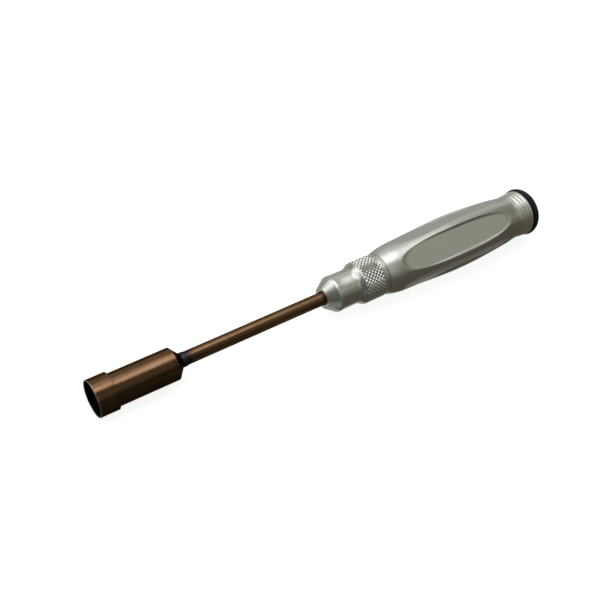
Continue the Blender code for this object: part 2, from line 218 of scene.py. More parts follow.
def bronze_steel(name, dark_from, dark_to, roughness):
    """Bronze-brown steel with fine turned lines, darkened to blue-black between two places along the tool.
    """
    bronze = Finish(name, BRONZE, 1.0, roughness)
    lines = bronze.speckle((5200.0, 90.0, 90.0))
    bands = bronze.speckle((420.0, 60.0, 60.0), 2.0)
    patches = bronze.speckle(160.0)
    colour = bronze.tint(bronze.spread(bands, 0, 1, 0.3, 0.7), BRONZE_DEEP, BRONZE_LIGHT)
    colour = bronze.tint(bronze.spread(patches, 0, 0.5, 0.5, 0.75), colour, BRONZE_DULL)
    along = bronze.nodes.new("ShaderNodeSeparateXYZ")
    bronze.links.new(bronze.place, along.inputs["Vector"])
    joint_dark = bronze.spread(along.outputs["X"], 0, 1, dark_from * MM, dark_to * MM)
    colour = bronze.tint(joint_dark, colour, JOINT_BLACK)
    colour = bronze.tint(bronze.spread(bronze.mark("worn"), 0, 0.7), colour, BARE_STEEL)
    # Painted shade: points inside the socket's bore are turned near-black.
    colour = bronze.tint(bronze.mark("bore_shade"), colour, BORE_SHADE)
    bronze.feed("Base Color", colour)
    bronze.feed("Roughness", bronze.spread(patches, roughness - 0.04, roughness + 0.04, 0.3, 0.7))
    bronze.shader.inputs["Specular Tint"].default_value = BRONZE_SHEEN
    bronze.relief(lines, 0.004, 0.25)
    return bronze.material


SHANK_RADIUS = 2.25
SHANK_CHAMFER = 0.4
SHANK_EDGE = 0.05
FLAT_DEPTH = 0.35
FLAT_LENGTH = 14.15
FLAT_SHOULDER = 0.05
shank_low, shank_high = [corner.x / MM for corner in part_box("shaft")]
flat_start = shank_high - FLAT_LENGTH
flat_height = (SHANK_RADIUS - FLAT_DEPTH) * MM
shank = lathe(
    [
        (shank_low, 0),
        (shank_low, SHANK_RADIUS),
        (flat_start, SHANK_RADIUS),
        (flat_start + FLAT_SHOULDER, SHANK_RADIUS),
        (shank_high - SHANK_CHAMFER, SHANK_RADIUS),
        (shank_high, SHANK_RADIUS - SHANK_CHAMFER),
        (shank_high, 0),
    ],
    BAR_STEPS,
)
for vert in shank.verts:
    if vert.co.x > (flat_start + FLAT_SHOULDER / 2) * MM:
        vert.co.z = max(vert.co.z, -flat_height)
        vert.co.y = min(vert.co.y, flat_height)
break_edges(shank, sharp_edges(shank, 30), SHANK_EDGE, wear=0.0)
shank_finish = bronze_steel("shank_bronze", SOCKET_ROOT_X + 5.5, SOCKET_ROOT_X + 1.5, 0.27)
add_piece("shank_bar", shank, shank_finish, "tip", "shaft")

# Socket: turned from bar with a raised lip and a cone, drilled from the front and broached to a hexagon.
# It has the shank's bronze finish, darkened at its cone next to the braze.
MOUTH_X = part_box("socket")[0].x / MM
MOUTH_RADIUS = 5.497
MOUTH_CHAMFER = 0.2
MOUTH_WEAR_END = 0.55
MOUTH_EDGE = 0.07
LIP_RADIUS = 6.177
LIP_LENGTH = 6.5
LIP_CHAMFER = 0.15
LIP_WEAR_END = 0.4
BODY_RADIUS = 5.397
CONE_START = 27.263
CONE_END = 29.763
ROOT_RADIUS = 2.45
SEAT_RADIUS = 2.35
SEAT_START = 24.763
HEX_FLAT = 4.05
HEX_START = 2.2
HEX_END = 14.2
HEX_LEAD = 0.25
RELIEF_RADIUS = 3.85
RELIEF_END = 20.2
DRILL_POINT = 22.513
STEP_SLANT = 0.01
SOCKET_EDGE = 0.045


def to_hexagon(vert):
    """Moves a point of a round hole along X out to a hexagon, as a broach cuts it."""
    wedge = math.radians(60)
    turn = math.atan2(vert.co.y, vert.co.z)
    vert.co.yz *= 1 / math.cos((turn + wedge / 2) % wedge - wedge / 2)


socket_outline = [
    (DRILL_POINT, 0),
    (RELIEF_END, RELIEF_RADIUS),
    (HEX_END, RELIEF_RADIUS),
    (HEX_END - STEP_SLANT, HEX_FLAT),
    (HEX_START + HEX_LEAD, HEX_FLAT),
    (HEX_START, HEX_FLAT + HEX_LEAD),
    (HEX_START - STEP_SLANT, MOUTH_RADIUS),
    (MOUTH_WEAR_END, MOUTH_RADIUS),
    (MOUTH_CHAMFER, MOUTH_RADIUS),
    (0, MOUTH_RADIUS + LIP_CHAMFER),
    (0, LIP_RADIUS - LIP_CHAMFER),
    (LIP_CHAMFER, LIP_RADIUS),
    (LIP_WEAR_END, LIP_RADIUS),
    (LIP_LENGTH - LIP_CHAMFER, LIP_RADIUS),
    (LIP_LENGTH, LIP_RADIUS - LIP_CHAMFER),
    (LIP_LENGTH, BODY_RADIUS),
    (CONE_START, BODY_RADIUS),
    (CONE_END, ROOT_RADIUS),
    (CONE_END, SEAT_RADIUS),
    (SEAT_START, SEAT_RADIUS),
    (SEAT_START, 0),
]
socket_shape = lathe([(MOUTH_X + x, radius) for x, radius in socket_outline], BAR_STEPS)
bore_shade = socket_shape.verts.layers.float.new("bore_shade")
# Points inside the bore are marked for painted shade, which the finish turns near-black.
for vert in socket_shape.verts:
    from_mouth = vert.co.x / MM - MOUTH_X
    radius = vert.co.yz.length / MM
    bore_radius = MOUTH_RADIUS if from_mouth < HEX_START + 0.1 else HEX_FLAT + HEX_LEAD
    if radius < bore_radius + 0.1 and from_mouth < DRILL_POINT + 0.1:
        vert[bore_shade] = 1.0
    if abs(radius - HEX_FLAT) < HEX_LEAD + 0.05 and from_mouth < HEX_END - STEP_SLANT / 2:
        to_hexagon(vert)
mouth_end = (MOUTH_X + LIP_CHAMFER + 0.02) * MM
mouth_edges = [edge for edge in sharp_edges(socket_shape) if edge.verts[0].co.x < mouth_end]
break_edges(socket_shape, mouth_edges, MOUTH_EDGE)
break_edges(socket_shape, sharp_edges(socket_shape), SOCKET_EDGE, wear=0.0)
socket_finish = bronze_steel("socket_bronze", SOCKET_ROOT_X - 3.5, SOCKET_ROOT_X + 1.0, 0.21)
add_piece("hex_socket", socket_shape, socket_finish, "tip", "socket")

# Braze: a thin collar of filler that has drawn out of the joint between socket and shank.
# It is left as it froze, blue-black and a little uneven.
BRAZE = (0.06, 0.055, 0.06)
BRAZE_DARK = (0.03, 0.027, 0.034)
BRAZE_LIGHT = (0.065, 0.055, 0.05)
BRAZE_SHEEN = (0.3, 0.28, 0.3, 1.0)
braze_low, braze_high = [corner.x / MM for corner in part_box("braze_fillet")]
braze_thickness = (
    (braze_low, 0.1),
    (braze_low + 0.5, 0.08),
    (braze_high - 0.15, 0.05),
    (braze_high, 0.01),
)
braze_shape = lathe(
    [
        (braze_low, SEAT_RADIUS),
        *[(x, SEAT_RADIUS + thickness) for x, thickness in braze_thickness],
        (braze_high, SEAT_RADIUS),
        (braze_low, SEAT_RADIUS),
    ],
    BAR_STEPS,
)
braze = Finish("braze_filler", BRAZE, 1.0, 0.4)
ripple = braze.speckle(900.0)
braze.feed("Base Color", braze.tint(braze.spread(ripple, 0, 1, 0.35, 0.7), BRAZE_DARK, BRAZE_LIGHT))
braze.feed("Roughness", braze.spread(ripple, 0.3, 0.45, 0.3, 0.7))
braze.shader.inputs["Specular Tint"].default_value = BRAZE_SHEEN
braze.relief(ripple, 0.02, 0.4)
add_piece("braze_collar", braze_shape, braze.material, "tip", "braze_fillet")

# Nose: turned from aluminium with a cone, a neck, a flare and a band, then rolled with a diamond knurl.
# It is bead-blasted and clear anodised, and its spigot screws into the barrel.
NOSE_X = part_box("nose")[0].x / MM
BARREL_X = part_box("barrel")[0].x / MM
NECK_START = NOSE_X + 3.75
FLARE_START = NECK_START + 7.2
KNURL_START = FLARE_START + 2.7
KNURL_LENGTH = 8.0
KNURL_END = KNURL_START + KNURL_LENGTH
KNURL_DEPTH = 0.4
KNURL_DIAMONDS = 31
KNURL_COLUMNS = 2 * KNURL_DIAMONDS
KNURL_RINGS = 11
KNURL_LAND = 0.17
BAND_RADIUS = 7.5
FRONT_STEP = 0.25
REAR_STEP = 0.3
FLARE_TOP_RUN = 0.35
FLARE_TOP_DROP = 0.1
FLARE_FOOT_RUN = 1.15
NECK_RADIUS = 6.125
NECK_TAPER = 4.8
CONE_RADIUS = 6.325
CONE_CORNER = 0.5
FACE_RADIUS = 3.75
SHANK_BORE = 2.45
SHANK_BORE_DEPTH = 18.8
SPIGOT_RADIUS = 5.0
SPIGOT_LENGTH = 10.0
SPIGOT_CHAMFER = 0.5
JOINT_GAP = 0.02
POLE_RADIUS = 0.4
NOSE_EDGE = 0.06
ALUMINIUM = (0.56, 0.56, 0.545)
ALUMINIUM_DULL = (0.535, 0.535, 0.52)
ALUMINIUM_LIGHT = (0.585, 0.585, 0.57)
BLAST_PIT = (0.47, 0.47, 0.455)
BARE_ALUMINIUM = (0.72, 0.72, 0.71)
KNURL_GRIME_AND_SHADE = (0.12, 0.12, 0.11)


def satin_aluminium(name, roughness):
    """Blasted, clear anodised aluminium: even grain, faint clouding, and bare metal on worn edges."""
    satin = Finish(name, ALUMINIUM, 1.0, roughness)
    grain = satin.speckle(7000.0, 2.0)
    clouds = satin.speckle(75.0)
    shade = satin.tint(satin.spread(clouds, 0, 1, 0.3, 0.7), ALUMINIUM_DULL, ALUMINIUM_LIGHT)
    shade = satin.tint(satin.spread(grain, 0, 0.35, 0.35, 0.65), shade, BLAST_PIT)
    shade = satin.tint(satin.spread(satin.mark("worn"), 0, 0.6), shade, BARE_ALUMINIUM)
    # Painted shade with grime: the knurl's valleys are darkened towards near-black.
    shade = satin.tint(satin.spread(satin.mark("grime_and_shade"), 0, 0.25, 0.45, 1.0), shade, KNURL_GRIME_AND_SHADE)
    satin.feed("Base Color", shade)
    satin.feed("Roughness", satin.spread(clouds, roughness - 0.03, roughness + 0.03, 0.3, 0.7))
    satin.relief(grain, 0.006, 0.25)
    return satin.material


def bend(start, start_handle, end_handle, end, pieces):
    """Points of a Bezier curve in an outline, without its first."""
    knots = [Vector((*knot, 0.0)) for knot in (start, start_handle, end_handle, end)]
    return [(point.x, point.y) for point in interpolate_bezier(*knots, pieces + 1)][1:]


def verts_of(geom):
    """The points among what an operator gives back."""
    return [item for item in geom if isinstance(item, bmesh.types.BMVert)]


def edges_of(geom):
    """The edges among what an operator gives back."""
    return [item for item in geom if isinstance(item, bmesh.types.BMEdge)]


def push_ring(bm, ring, x, radius):
    """Extrudes a ring of edges to a place along the tool and a radius, in millimetres."""
    grown = bmesh.ops.extrude_edge_only(bm, edges=ring)["geom"]
    for vert in verts_of(grown):
        vert.co.yz *= radius * MM / vert.co.yz.length
        vert.co.x = x * MM
    return edges_of(grown)


def open_ring(bm, x):
    """The open edges at a place along the tool, in millimetres."""
    return [
        edge
        for edge in bm.edges
        if edge.is_boundary and all(abs(vert.co.x / MM - x) < 0.002 for vert in edge.verts)
    ]


def turned_edges(bm, angle=24):
    """The sharp edges that run round the tool."""
    return [
        edge
        for edge in sharp_edges(bm, angle)
        if abs(edge.verts[0].co.x - edge.verts[1].co.x) < 0.001 * MM
    ]


def along_tool(edge):
    """The place along the tool, in millimetres, of an edge that runs round it."""
    return edge.verts[0].co.x / MM


nose_shape = bmesh.new()
bmesh.ops.create_grid(nose_shape, x_segments=KNURL_RINGS, y_segments=KNURL_COLUMNS, size=0.5)
low_points = []
for vert in nose_shape.verts:
    ring = round((vert.co.x + 0.5) * KNURL_RINGS)
    column = round((vert.co.y + 0.5) * KNURL_COLUMNS)
    high = 0 < ring < KNURL_RINGS and (ring + column) % 2 == 0
    depth = 0.0 if high else KNURL_DEPTH
    if ring == 0:
        depth = FRONT_STEP
    elif ring == KNURL_RINGS:
        depth = REAR_STEP
    radius = BAND_RADIUS - depth
    turn = math.tau * column / KNURL_COLUMNS
    vert.co.x = (KNURL_START + KNURL_LENGTH * ring / KNURL_RINGS) * MM
    vert.co.y = radius * math.sin(turn) * MM
    vert.co.z = radius * math.cos(turn) * MM
    if not high:
        low_points.append(vert)
bmesh.ops.connect_verts(nose_shape, verts=low_points)
bmesh.ops.remove_doubles(nose_shape, verts=nose_shape.verts, dist=MERGE)
knurl_points = [vert for vert in nose_shape.verts if vert.co.yz.length > (BAND_RADIUS - 0.01) * MM]
knurl_lands = bmesh.ops.bevel(
    nose_shape,
    geom=knurl_points,
    offset=KNURL_LAND * MM,
    offset_type="OFFSET",
    segments=1,
    profile=0.5,
    affect="VERTICES",
    material=-1,
)
worn = nose_shape.verts.layers.float.new("worn")
grime_and_shade = nose_shape.verts.layers.float.new("grime_and_shade")
for face in knurl_lands["faces"]:
    for vert in face.verts:
        vert[worn] = 1.0
# The knurl's low points carry painted shade with grime, which darkens its valleys.
for vert in nose_shape.verts:
    low = vert.co.yz.length < (BAND_RADIUS - KNURL_DEPTH + 0.01) * MM
    vert[grime_and_shade] = float(low and KNURL_START + 0.01 < vert.co.x / MM < KNURL_END - 0.01)

knurl_ends = open_ring(nose_shape, KNURL_START) + open_ring(nose_shape, KNURL_END)
bmesh.ops.subdivide_edges(nose_shape, edges=knurl_ends, cuts=1)
nose_front = [
    *bend(
        (KNURL_START, BAND_RADIUS - FRONT_STEP),
        (KNURL_START - FLARE_TOP_RUN, BAND_RADIUS - FRONT_STEP - FLARE_TOP_DROP),
        (FLARE_START + FLARE_FOOT_RUN, NECK_RADIUS),
        (FLARE_START, NECK_RADIUS),
        16,
    ),
    *bend(
        (NECK_START + NECK_TAPER, NECK_RADIUS),
        (NECK_START + NECK_TAPER / 2, NECK_RADIUS),
        (NECK_START + NECK_TAPER / 2, NECK_RADIUS),
        (NECK_START, CONE_RADIUS),
        10,
    ),
    (NOSE_X, FACE_RADIUS),
    (NOSE_X, SHANK_BORE),
    (NOSE_X + SHANK_BORE_DEPTH, SHANK_BORE),
    (NOSE_X + SHANK_BORE_DEPTH, POLE_RADIUS),
]
nose_rear = [
    (BARREL_X - JOINT_GAP, BAND_RADIUS - REAR_STEP),
    (BARREL_X - JOINT_GAP, SPIGOT_RADIUS),
    (BARREL_X + SPIGOT_LENGTH - SPIGOT_CHAMFER, SPIGOT_RADIUS),
    (BARREL_X + SPIGOT_LENGTH, SPIGOT_RADIUS - SPIGOT_CHAMFER),
    (BARREL_X + SPIGOT_LENGTH, POLE_RADIUS),
]
for start, outline in ((KNURL_START, nose_front), (KNURL_END, nose_rear)):
    ring = open_ring(nose_shape, start)
    for x, radius in outline:
        ring = push_ring(nose_shape, ring, x, radius)
    bmesh.ops.edgeloop_fill(nose_shape, edges=ring)
bmesh.ops.recalc_face_normals(nose_shape, faces=nose_shape.faces)
small_corners = [
    edge
    for edge in turned_edges(nose_shape)
    if not KNURL_START - 0.01 < along_tool(edge) < KNURL_END + 0.01
    and abs(along_tool(edge) - NECK_START) > 0.01
    and edge.verts[0].co.yz.length > 2 * POLE_RADIUS * MM
]
break_edges(nose_shape, small_corners, NOSE_EDGE, wear=0.0)
cone_corner = [edge for edge in turned_edges(nose_shape, 15) if abs(along_tool(edge) - NECK_START) < 0.01]
break_edges(nose_shape, cone_corner, CONE_CORNER, 6, wear=0.3)


def drill(bm, hole):
    """Takes a closed shape away from another, and gives back what is left."""
    blanks = []
    for shape in (bm, hole):
        mesh = bpy.data.meshes.new("blank")
        shape.to_mesh(mesh)
        shape.free()
        blanks.append(bpy.data.objects.new("blank", mesh))
        scene.collection.objects.link(blanks[-1])
    cut = blanks[0].modifiers.new("drill", "BOOLEAN")
    cut.object = blanks[1]
    graph = bpy.context.evaluated_depsgraph_get()
    drilled = bpy.data.meshes.new_from_object(blanks[0].evaluated_get(graph))
    left = bmesh.new()
    left.from_mesh(drilled)
    for blank in blanks:
        bpy.data.objects.remove(blank)
    return left


def stand_out(bm, outward, x, lift=0.0):
    """Points a shape made along X outward, at a place along the tool and a lift off its axis, in metres."""
    aim = Vector((1, 0, 0)).rotation_difference(outward).to_matrix().to_4x4()
    seat = Matrix.Translation(Vector((x, 0, 0)) + outward * lift) @ aim
    bmesh.ops.transform(bm, matrix=seat, verts=bm.verts)


SCREW_SIDES = (("under", Vector((0, 0, -1))), ("side", Vector((0, 1, 0))))
SCREW_STEPS = 48
THREAD_PITCH = 0.5
THREAD_DEPTH = 0.16
TAP_RADIUS = 1.56
TAP_START = 2.0
TAP_LEAD = 0.3
TAP_TURNS = 7
TAP_END = 5.75
COUNTERSINK_DEPTH = 0.22
COUNTERSINK_FLARE = 1.1
DRILL_END = 7.0
for side, outward in SCREW_SIDES:
    low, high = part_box(f"set_screw_{side}")
    threads = []
    for turn in range(TAP_TURNS):
        root = TAP_START + TAP_LEAD + THREAD_PITCH * turn
        threads += [(root, TAP_RADIUS), (root + THREAD_PITCH / 2, TAP_RADIUS + THREAD_DEPTH)]
    hole = lathe(
        [
            (TAP_START, 0),
            (TAP_START, TAP_RADIUS),
            *threads,
            (TAP_END, TAP_RADIUS),
            (NECK_RADIUS - COUNTERSINK_DEPTH, TAP_RADIUS),
            (DRILL_END, TAP_RADIUS + COUNTERSINK_FLARE),
            (DRILL_END, 0),
        ],
        SCREW_STEPS,
    )
    stand_out(hole, outward, (low.x + high.x) / 2)
    nose_shape = drill(nose_shape, hole)
nose_finish = satin_aluminium("nose_aluminium", 0.31)
add_piece("knurled_nose", nose_shape, nose_finish, "handle", "nose")

# Set screws: two black steel grub screws with hexagon sockets, at a right angle to each other.
# They sit in tapped holes in the neck and press on the shank's flats.
KEY_FLAT = 0.75
KEY_DEPTH = 1.3
KEY_LEAD = 0.12
KEY_FLARE = 0.2
KEY_POINT = 0.25
THREAD_START = 0.4
SCREW_CHAMFER = 0.3
SCREW_EDGE = 0.03
OXIDE = (0.03, 0.03, 0.032)
OXIDE_DARK = (0.022, 0.022, 0.024)
OXIDE_LIGHT = (0.05, 0.05, 0.053)
oxide = Finish("black_oxide", OXIDE, 1.0, 0.38)
mottle = oxide.speckle(2500.0)
oxide.feed("Base Color", oxide.tint(oxide.spread(mottle, 0, 1, 0.35, 0.7), OXIDE_DARK, OXIDE_LIGHT))
oxide.feed("Roughness", oxide.spread(mottle, 0.32, 0.46, 0.3, 0.7))
oxide.relief(mottle, 0.004, 0.3)
for side, outward in SCREW_SIDES:
    node = f"set_screw_{side}"
    low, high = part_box(node)
    radius = (high.x - low.x) / 2 / MM
    length = (high - low).dot(Vector(map(abs, outward))) / MM
    tip = min(abs(low.dot(outward)), abs(high.dot(outward)))
    threads = []
    for turn in range(int((length - 2 * THREAD_START) / THREAD_PITCH)):
        crest = THREAD_START + THREAD_PITCH * turn
        threads += [(crest, radius), (crest + THREAD_PITCH / 2, radius - THREAD_DEPTH)]
    screw = lathe(
        [
            (0, 0),
            (0, radius - SCREW_CHAMFER),
            *threads,
            (length - SCREW_CHAMFER, radius),
            (length, radius - SCREW_CHAMFER),
            (length, KEY_FLAT + KEY_FLARE),
            (length - KEY_LEAD, KEY_FLAT),
            (length - KEY_DEPTH, KEY_FLAT),
            (length - KEY_DEPTH - KEY_POINT, 0),
        ],
        SCREW_STEPS,
    )
    for vert in screw.verts:
        if vert.co.x > (length - KEY_DEPTH - 0.01) * MM and vert.co.yz.length < (KEY_FLAT + 0.01) * MM:
            to_hexagon(vert)
    break_edges(screw, sharp_edges(screw), SCREW_EDGE)
    stand_out(screw, outward, (low.x + high.x) / 2, tip)
    add_piece(f"grub_screw_{side}", screw, oxide.material, f"screw_{side}", node)

# Barrel: the grip, turned from aluminium to a swelling form with a waist and fine rings near its rim.
# Five flat-bottomed flutes with rounded walls are milled into it, and it is finished like the nose.
BARREL_LENGTH = 64.0
BARREL_MERGE = 0.002 * MM
FRONT_RADIUS = 7.45
FRONT_SLOPE = 0.3
FRONT_EDGE = 0.08
SHOULDER_RADIUS = 8.575
SHOULDER_LENGTH = 6.2
SHOULDER_SLOPE = 0.05
CROWN_RADIUS = 9.965
CROWN_PLACE = 32.35
CROWN_HOLD = 0.55
WAIST_RADIUS = 7.775
WAIST_PLACE = 58.0
WAIST_HOLD = 0.1
RIM_RADIUS = 8.25
RIM_CHAMFER = 0.3
RIM_EDGE = 0.05
SPIGOT_BORE = 5.2
SPIGOT_BORE_DEPTH = 10.3
CAP_BORE = 5.375
FLUTES = 5
FLUTE_FLOOR = 7.9
FLUTE_START = 5.42
FLUTE_END = 53.8
FLUTE_HALF_WIDTH = 4.98
FLUTE_FULLNESS = 2.55
FLUTE_LEAST_RISE = 0.02
FLUTE_CORNER = 1.25
FLUTE_END_CORNER = 9.0
FLUTE_END_BLEND = 4
FLUTE_EDGE = 0.14
FLUTE_POINTS = 160
END_POINTS = 10
WALL_RINGS = 6
FIELD_START = 4.2
FIELD_END = 55.7
FIELD_RINGS = 6
GROOVES = 3
GROOVE_PITCH = 1.4
GROOVE_FROM_RIM = 1.55
GROOVE_OUTLINE = ((0.38, 0), (0.14, 0.22), (0, 0.26), (-0.14, 0.22), (-0.38, 0))
shoulder_third = SHOULDER_LENGTH / 3
crown_third = (CROWN_PLACE - SHOULDER_LENGTH) / 3
rear_run = WAIST_PLACE - CROWN_PLACE
grip_outline = [
    (0, FRONT_RADIUS),
    *bend(
        (0, FRONT_RADIUS),
        (shoulder_third, FRONT_RADIUS + FRONT_SLOPE * shoulder_third),
        (SHOULDER_LENGTH - shoulder_third, SHOULDER_RADIUS - SHOULDER_SLOPE * shoulder_third),
        (SHOULDER_LENGTH, SHOULDER_RADIUS),
        30,
    ),
    *bend(
        (SHOULDER_LENGTH, SHOULDER_RADIUS),
        (SHOULDER_LENGTH + crown_third, SHOULDER_RADIUS + SHOULDER_SLOPE * crown_third),
        (CROWN_PLACE - crown_third, CROWN_RADIUS),
        (CROWN_PLACE, CROWN_RADIUS),
        60,
    ),
    *bend(
        (CROWN_PLACE, CROWN_RADIUS),
        (CROWN_PLACE + CROWN_HOLD * rear_run, CROWN_RADIUS),
        (WAIST_PLACE - WAIST_HOLD * rear_run, WAIST_RADIUS),
        (WAIST_PLACE, WAIST_RADIUS),
        60,
    ),
]
outline_places = [x for x, radius in grip_outline]


def grip_radius(x):
    """Radius of the barrel at a distance behind its front face."""
    after = min(max(bisect_left(outline_places, x), 1), len(grip_outline) - 1)
    (x0, r0), (x1, r1) = grip_outline[after - 1], grip_outline[after]
    return r0 + (r1 - r0) * (x - x0) / (x1 - x0)


def fuller(value):
    """A cosine or sine, drawn out so that the flute's outline is fuller than an ellipse."""
    return math.copysign(abs(value) ** (2 / FLUTE_FULLNESS), value)


def flute_point(step, share):
    """(x, across, height) on the flute's rounded wall, from its floor's edge (0) to its rim (1)."""
    turn = math.tau * step / FLUTE_POINTS
    reach = fuller(math.cos(turn))
    sway = fuller(math.sin(turn))
    middle = (FLUTE_START + FLUTE_END) / 2
    half_length = (FLUTE_END - FLUTE_START) / 2
    surface = math.sqrt(grip_radius(middle + half_length * reach) ** 2 - (FLUTE_HALF_WIDTH * sway) ** 2)
    rise = max(surface - FLUTE_FLOOR, FLUTE_LEAST_RISE)
    corner = FLUTE_CORNER + (FLUTE_END_CORNER - FLUTE_CORNER) * reach**FLUTE_END_BLEND
    run = math.sqrt(2 * corner * rise - rise**2)
    inset = run * (1 - share)
    x = middle + (half_length - inset) * reach
    across = (FLUTE_HALF_WIDTH - inset) * sway
    height = surface - rise + corner - math.sqrt(corner**2 - (run * share) ** 2)
    return x, across, height


def field_edge(step):
    """(x, angle) on the edge of the flute's share of the barrel."""
    half_turn = math.pi / FLUTES
    half_points = FLUTE_POINTS // 2
    mirrored = step > half_points
    if mirrored:
        step = FLUTE_POINTS - step
    angle = half_turn
    if step <= END_POINTS:
        x = FIELD_END
        angle = half_turn * step / END_POINTS
    elif step >= half_points - END_POINTS:
        x = FIELD_START
        angle = half_turn * (half_points - step) / END_POINTS
    else:
        corner_reach = fuller(math.cos(math.tau * END_POINTS / FLUTE_POINTS))
        reach = fuller(math.cos(math.tau * step / FLUTE_POINTS)) / corner_reach
        x = (FIELD_START + FIELD_END) / 2 + reach * (FIELD_END - FIELD_START) / 2
    return x, -angle if mirrored else angle


barrel_shape = bmesh.new()
bmesh.ops.create_circle(barrel_shape, cap_ends=True, segments=FLUTE_POINTS, radius=1.0)
step_layer = barrel_shape.verts.layers.float.new("step")
for vert in barrel_shape.verts:
    vert[step_layer] = round(math.atan2(vert.co.y, vert.co.x) / math.tau * FLUTE_POINTS) % FLUTE_POINTS


def lay_flute(verts, share):
    """Moves a ring of the flute's points between its floor's edge (0) and its rim (1)."""
    for vert in verts:
        x, across, height = flute_point(round(vert[step_layer]), share)
        vert.co = Vector((BARREL_X + x, across, height)) * MM


def lay_field(verts, share):
    """Moves a ring of points over the barrel, from the flute's rim (0) to its field's edge (1)."""
    for vert in verts:
        step = round(vert[step_layer])
        x, across, height = flute_point(step, 1.0)
        edge_x, edge_angle = field_edge(step)
        x += (edge_x - x) * share
        angle = math.atan2(across, height)
        angle += (edge_angle - angle) * share
        radius = grip_radius(x)
        vert.co = Vector((BARREL_X + x, radius * math.sin(angle), radius * math.cos(angle))) * MM


lay_flute(barrel_shape.verts, 0.0)
ring = list(barrel_shape.edges)
for count in range(1, WALL_RINGS + 1):
    grown = bmesh.ops.extrude_edge_only(barrel_shape, edges=ring)["geom"]
    ring = edges_of(grown)
    lay_flute(verts_of(grown), count / WALL_RINGS)
flute_rim = ring
for count in range(1, FIELD_RINGS + 1):
    grown = bmesh.ops.extrude_edge_only(barrel_shape, edges=ring)["geom"]
    ring = edges_of(grown)
    lay_field(verts_of(grown), count / FIELD_RINGS)
break_edges(barrel_shape, flute_rim, FLUTE_EDGE, wear=0.0)
underneath = Matrix.Rotation(math.pi, 3, "X")
bmesh.ops.rotate(barrel_shape, verts=barrel_shape.verts, cent=(0, 0, 0), matrix=underneath)
bmesh.ops.spin(
    barrel_shape,
    geom=list(barrel_shape.verts) + list(barrel_shape.edges) + list(barrel_shape.faces),
    cent=(0, 0, 0),
    axis=(1, 0, 0),
    angle=math.tau * (FLUTES - 1) / FLUTES,
    steps=FLUTES - 1,
    use_duplicate=True,
)
bmesh.ops.remove_doubles(barrel_shape, verts=barrel_shape.verts, dist=BARREL_MERGE)

rim_slope = (RIM_RADIUS - WAIST_RADIUS) / (BARREL_LENGTH - WAIST_PLACE)
barrel_outline = [
    *[(x, radius) for x, radius in reversed(grip_outline) if x < FIELD_START - 0.2],
    (0, SPIGOT_BORE),
    (SPIGOT_BORE_DEPTH, SPIGOT_BORE),
    (SPIGOT_BORE_DEPTH + CAP_BORE - SPIGOT_BORE, CAP_BORE),
    (BARREL_LENGTH, CAP_BORE),
    (BARREL_LENGTH, RIM_RADIUS - RIM_CHAMFER),
    (BARREL_LENGTH - RIM_CHAMFER, RIM_RADIUS - RIM_CHAMFER * rim_slope),
]
for groove in range(GROOVES):
    middle = BARREL_LENGTH - GROOVE_FROM_RIM - GROOVE_PITCH * groove
    for offset, depth in GROOVE_OUTLINE:
        surface = WAIST_RADIUS + rim_slope * (middle + offset - WAIST_PLACE)
        barrel_outline.append((middle + offset, surface - depth))
barrel_outline += [(x, radius) for x, radius in reversed(grip_outline) if FIELD_END + 0.1 < x][::3]
barrel_outline.append((FIELD_END, grip_radius(FIELD_END)))
ring = open_ring(barrel_shape, BARREL_X + FIELD_START)
for x, radius in barrel_outline:
    ring = push_ring(barrel_shape, ring, BARREL_X + x, radius)
bmesh.ops.remove_doubles(barrel_shape, verts=barrel_shape.verts, dist=BARREL_MERGE)
bmesh.ops.recalc_face_normals(barrel_shape, faces=barrel_shape.faces)
rear_edges = [edge for edge in turned_edges(barrel_shape, 20) if along_tool(edge) > BARREL_X + WAIST_PLACE]
break_edges(barrel_shape, rear_edges, RIM_EDGE)
front_edges = [edge for edge in turned_edges(barrel_shape, 20) if along_tool(edge) < BARREL_X + 1]
break_edges(barrel_shape, front_edges, FRONT_EDGE, wear=0.0)
barrel_shape.verts.layers.float.remove(barrel_shape.verts.layers.float["step"])
barrel_finish = satin_aluminium("barrel_aluminium", 0.34)
add_piece("fluted_barrel", barrel_shape, barrel_finish, "handle", "barrel")

# End cap: a domed disc moulded in black plastic, a little wider than the barrel's rim.
# A hollow spigot holds it in the barrel's bore.
CAP_GAP = 0.2
CAP_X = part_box("barrel")[1].x / MM + CAP_GAP
CAP_RADIUS = 8.66
CAP_DOME = 3.45
CAP_LIP = 0.25
CAP_SPIGOT_RADIUS = 5.175
CAP_SPIGOT_BORE = 3.675
CAP_SPIGOT_LENGTH = 6.2
CAP_STEPS = 120
CAP_BLACK = (0.007, 0.007, 0.007)
CAP_DEEP = (0.006, 0.006, 0.006)
CAP_SMEAR = (0.01, 0.01, 0.01)


def round_over(x, radius, size, start, end, pieces):
    """Points of an arc in an outline, round a middle, by angles from the outward side towards the rear."""
    turns = [math.radians(start + (end - start) * step / pieces) for step in range(pieces + 1)]
    return [(x + size * math.sin(turn), radius + size * math.cos(turn)) for turn in turns]


